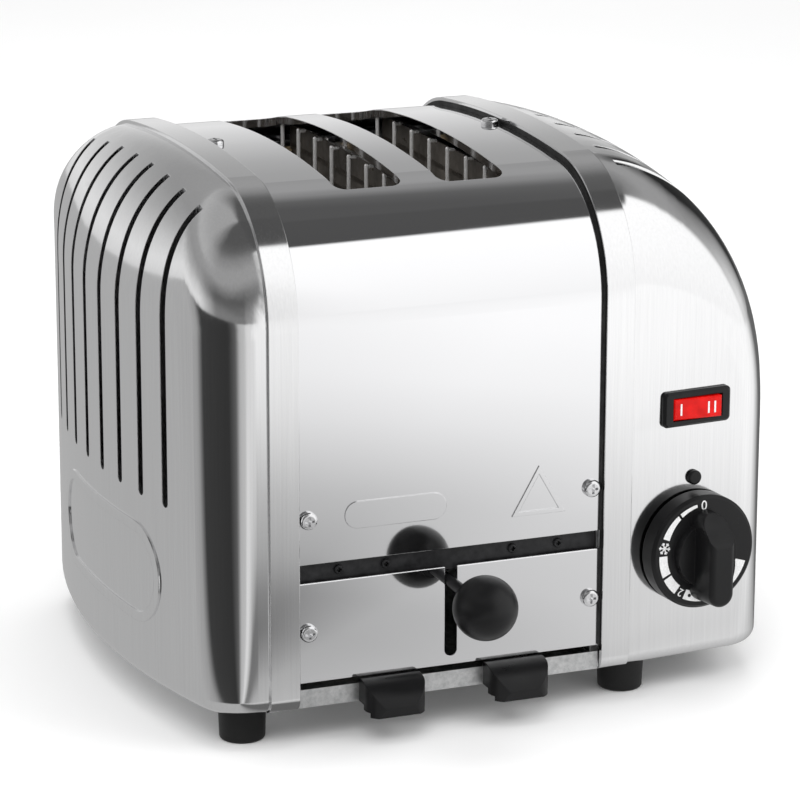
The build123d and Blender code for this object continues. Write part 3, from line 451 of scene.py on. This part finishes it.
def rocker_marks():
    """One bar on the left and two on the right of the rocker."""
    normal = Matrix.Rotation(-ROCKER_TILT, 3, "Z") @ FACE_NORMAL
    right = UP.cross(normal)
    outlines = [bar(x, -0.0023, x, 0.0023, 0.0007) for x in (-0.0072, 0.0045, 0.0072)]
    prism("rocker_marks", outlines, Vector(ROCKER["pos_m"]), right, normal, ROCKER_FACE, INK, PRINT,
          "switch_rocker")


rocker_marks()


# ------------------------------------------------------------------ studio
REFLECTED_LIGHT = 1.17  # strength of the surfaces that only show in reflections
FRONT_LEFT_CORNER = (-0.12, -0.12, 0.0)  # of the object's footprint
ROOM_RADIUS = 4.0
TABLE_HALF = 3.9


class Surround:
    """Emission by position round the origin, for surfaces that only show in reflections."""

    def __init__(self, name, centre=(0, 0, 0)):
        self.material = bpy.data.materials.new(name)
        self.material.use_nodes = True
        self.tree = self.material.node_tree
        self.tree.nodes.clear()
        coords = self.node("ShaderNodeTexCoord")
        place = self.node("ShaderNodeVectorMath", operation="SUBTRACT")
        place.inputs[1].default_value = centre
        self.link(coords.outputs["Object"], place.inputs[0])
        self.split = self.node("ShaderNodeSeparateXYZ")
        self.link(place.outputs["Vector"], self.split.inputs["Vector"])
        self.length = self.node("ShaderNodeVectorMath", operation="LENGTH")
        self.link(place.outputs["Vector"], self.length.inputs[0])
        turn = self.math("ARCTAN2", self.split.outputs["X"], self.split.outputs["Y"])
        self.azimuth = self.math("ADD", self.math("DIVIDE", turn, 2 * math.pi), 0.5)

    def node(self, kind, **settings):
        node = self.tree.nodes.new(kind)
        for key, value in settings.items():
            setattr(node, key, value)
        return node

    def link(self, output, target):
        self.tree.links.new(output, target)

    def math(self, operation, first, second):
        node = self.node("ShaderNodeMath", operation=operation)
        for socket, value in zip(node.inputs, (first, second)):
            if isinstance(value, (int, float)):
                socket.default_value = value
            else:
                self.link(value, socket)
        return node.outputs["Value"]

    def ramp(self, value, stops):
        """Grey levels along a value; stops are (position, level)."""
        node = self.node("ShaderNodeValToRGB")
        elements = node.color_ramp.elements
        while len(elements) < len(stops):
            elements.new(0.5)
        for element, (position, level) in zip(elements, stops):
            element.position = position
            element.color = (level, level, level, 1)
        self.link(value, node.inputs["Fac"])
        return node.outputs["Color"]

    def around(self, stops):
        """Grey levels by compass direction; stops are (degrees from the back towards the right, level)."""
        return self.ramp(self.azimuth, [(degrees / 360 + 0.5, level) for degrees, level in stops])

    def mix(self, share, first, second):
        """First level at share 0, second at share 1."""
        return self.math("ADD", self.math("MULTIPLY", first, self.math("SUBTRACT", 1.0, share)),
                         self.math("MULTIPLY", second, share))

    def finish(self, level):
        """Sends the level out as light and gives the material."""
        glow = self.node("ShaderNodeEmission")
        out = self.node("ShaderNodeOutputMaterial")
        glow.inputs["Strength"].default_value = REFLECTED_LIGHT
        self.link(level, glow.inputs["Color"])
        self.link(glow.outputs["Emission"], out.inputs["Surface"])
        return self.material


def room_material():
    """White softbox in front, grey backdrop with a dark flag, dark ceiling that is paler on the left."""
    s = Surround("room")
    height = s.math("DIVIDE", s.split.outputs["Z"], s.length.outputs["Value"])
    softbox = s.ramp(height, ((0.0, 0.90), (0.45, 0.96), (0.84, 1.0), (0.855, 0.07), (1.0, 0.075)))
    backdrop = s.ramp(height, ((0.0, 0.62), (0.10, 0.70), (0.24, 0.54), (0.36, 0.38), (0.5, 0.27),
                               (0.73, 0.27), (0.82, 0.20), (0.88, 0.10), (0.93, 0.075)))
    sides = s.around(((-180, 0.25), (-95, 0.30), (-80, 0.8), (-70, 1.0), (28, 1.0), (36, 0.05),
                      (58, 0.05), (68, 0.5), (86, 1.0), (180, 0.35)))
    upper = s.ramp(height, ((0.42, 0.0), (0.62, 1.0)))
    pale_left = s.ramp(height, ((0.0, 0.62), (0.10, 0.70), (0.24, 0.54), (0.36, 0.38), (0.5, 0.27),
                                (0.64, 0.29), (0.71, 0.40), (0.9, 0.33), (1.0, 0.33)))
    left = s.around(((-120, 0.0), (-80, 1.0), (-15, 1.0), (18, 0.0)))
    front = s.around(((90, 0.0), (96, 1.0), (161, 1.0), (169, 0.0)))
    behind = s.math("MULTIPLY", backdrop, s.mix(upper, sides, 1.1))
    return s.finish(s.mix(front, s.mix(left, behind, pale_left), softbox))


def table_material():
    """Pale table as the mirrors see it: shaded near the object and dark at the front left."""
    s = Surround("table", FRONT_LEFT_CORNER)
    sides = s.around(((-180, 0.50), (-166, 0.42), (-157, 0.10), (-140, 0.03), (-75, 0.04), (-60, 0.30),
                      (-40, 0.38), (24, 0.38), (40, 0.12), (70, 0.12), (88, 0.85), (100, 0.97), (128, 0.97),
                      (145, 1.0), (158, 0.9), (170, 0.65)))
    front = s.around(((75, 0.0), (95, 0.60), (128, 0.72), (145, 1.0), (158, 1.0), (172, 0.0)))
    shade = s.ramp(s.length.outputs["Value"], ((0.12, 0.17), (0.165, 0.225), (0.22, 0.38), (0.31, 0.50),
                                               (0.37, 0.63), (0.44, 0.77), (0.52, 0.88), (0.65, 0.96)))
    return s.finish(s.math("MULTIPLY", sides, s.mix(front, 1.0, shade)))


def reflected_only(name, vertices, faces, material):
    """Stage surface that only glossy rays can see."""
    mesh = bpy.data.meshes.new(name)
    mesh.from_pydata(vertices, [], faces)
    mesh.materials.append(material)
    piece = bpy.data.objects.new(name, mesh)
    bpy.context.scene.collection.objects.link(piece)
    piece.visible_camera = False
    piece.visible_diffuse = False
    piece.visible_shadow = False
    piece.visible_transmission = False


def make_room():
    """Half dome over the table."""
    columns, rows = 48, 12
    vertices = [(0, 0, ROOM_RADIUS)]
    for row in range(rows + 1):
        lift = math.radians(90 * row / (rows + 1))
        for column in range(columns):
            turn = 2 * math.pi * column / columns
            vertices.append((ROOM_RADIUS * math.cos(lift) * math.cos(turn),
                             ROOM_RADIUS * math.cos(lift) * math.sin(turn), ROOM_RADIUS * math.sin(lift)))
    faces = []
    for row in range(rows):
        for column in range(columns):
            following = (column + 1) % columns
            low, high = 1 + row * columns, 1 + (row + 1) * columns
            faces.append((low + column, low + following, high + following, high + column))
    last = 1 + rows * columns
    faces += [(last + column, last + (column + 1) % columns, 0) for column in range(columns)]
    reflected_only("room", vertices, faces, room_material())


def square(half, z):
    """Corners of a level square round the origin."""
    return [(-half, -half, z), (half, -half, z), (half, half, z), (-half, half, z)]


def make_floor():
    """Plain pale floor, and the table that the mirrors see in its place."""
    mesh = bpy.data.meshes.new("floor")
    mesh.from_pydata(square(TABLE_HALF, 0), [], [(0, 1, 2, 3)])
    s = Shader("floor", (0.9, 0.9, 0.9), 0.0, 0.9)
    s.tint(s.noise(3, detail=2), (0.89, 0.89, 0.89), (0.91, 0.91, 0.91))
    mesh.materials.append(s.material)
    floor = bpy.data.objects.new("floor", mesh)
    bpy.context.scene.collection.objects.link(floor)
    floor.visible_glossy = False
    reflected_only("table", square(TABLE_HALF, 0.0002), [(0, 1, 2, 3)], table_material())


def area_light(name, place, target, size, power):
    """Soft square light."""
    data = bpy.data.lights.new(name, "AREA")
    data.size = size
    data.energy = power
    lamp = bpy.data.objects.new(name, data)
    bpy.context.scene.collection.objects.link(lamp)
    lamp.location = place
    lamp.rotation_euler = (Vector(target) - Vector(place)).to_track_quat("-Z", "Y").to_euler()
    lamp.visible_glossy = False
    lamp.visible_camera = False


def make_studio():
    """Even white surroundings, reflected room and table, soft lights."""
    world = bpy.data.worlds.new("studio")
    bpy.context.scene.world = world
    world.use_nodes = True
    world.node_tree.nodes["Background"].inputs["Color"].default_value = (1, 1, 1, 1)
    world.node_tree.nodes["Background"].inputs["Strength"].default_value = 0.9
    make_floor()
    make_room()
    area_light("key", (-0.9, -1.4, 1.9), (0, 0, 0.1), 1.2, 16)
    area_light("fill", (1.2, -0.9, 1.4), (0, 0, 0.1), 1.0, 8)
    area_light("top", (0.0, 0.2, 1.9), (0, 0, 0.1), 1.2, 10)
    bpy.context.scene.view_settings.view_transform = "Standard"


make_studio()
